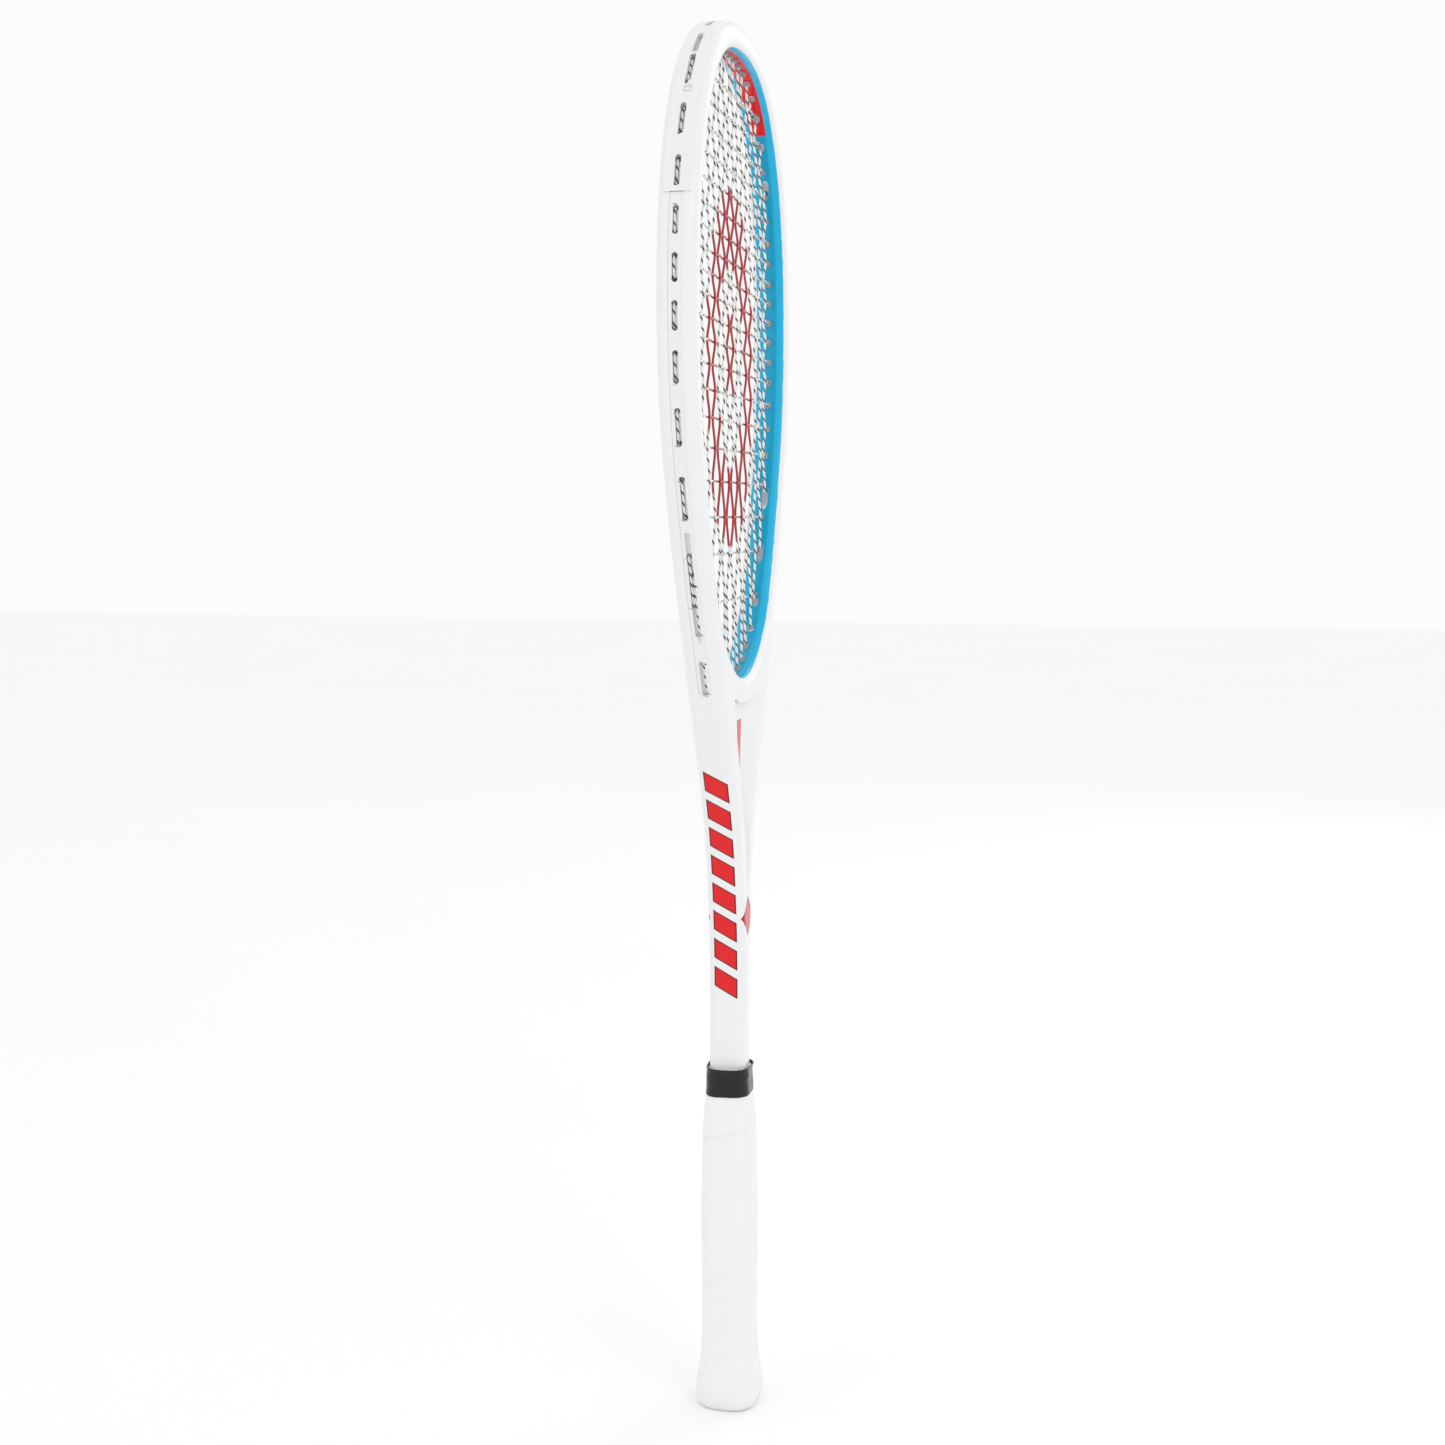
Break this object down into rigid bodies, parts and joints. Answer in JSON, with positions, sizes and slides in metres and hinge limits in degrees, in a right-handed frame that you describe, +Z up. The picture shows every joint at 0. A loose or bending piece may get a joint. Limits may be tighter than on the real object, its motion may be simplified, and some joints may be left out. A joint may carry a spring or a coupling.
{
  "type": "squash racket",
  "caption": "Squash racket with a teardrop hoop, closed throat, woven string bed, bumper guard and a wrapped round-cornered handle.",
  "frame": {"origin": "centre of the flat butt end of the handle", "axes": "+Z up the shaft towards the tip, X across the head in the plane of the strings, Y square to the strings"},
  "size_m": [0.215, 0.0324, 0.686],
  "materials": {
    "frame_lacquer": "gloss lacquer on a carbon moulding, white outside and blue inside the hoop",
    "guard_nylon": "white moulded nylon, satin",
    "grommet_nylon": "pale grey moulded nylon, slightly translucent",
    "string_nylon": "clear-coated nylon string with a dark spiral tracer and a red stencil",
    "pallet_foam": "moulded polyurethane",
    "cap_plastic": "white moulded plastic",
    "badge_plastic": "plain red disc",
    "staple_steel": "bright steel wire",
    "grip_polymer": "soft matte white wrap",
    "tape_vinyl": "black gloss vinyl"
  },
  "bodies": {
    "root": {"frame": "frame_lacquer", "throat_bridge": "frame_lacquer", "bumper_guard": "guard_nylon", "grommet_strip_left": "grommet_nylon", "grommet_strip_right": "grommet_nylon", "throat_grommets": "grommet_nylon", "main_string": "string_nylon", "cross_string": "string_nylon", "string_knots": "string_nylon", "handle_pallet_front": "pallet_foam", "handle_pallet_rear": "pallet_foam", "butt_cap": "cap_plastic", "butt_cap_badge": "badge_plastic", "butt_cap_staples": "staple_steel", "grip_wrap": "grip_polymer", "finishing_tape": "tape_vinyl"}
  },
  "joints": []
}
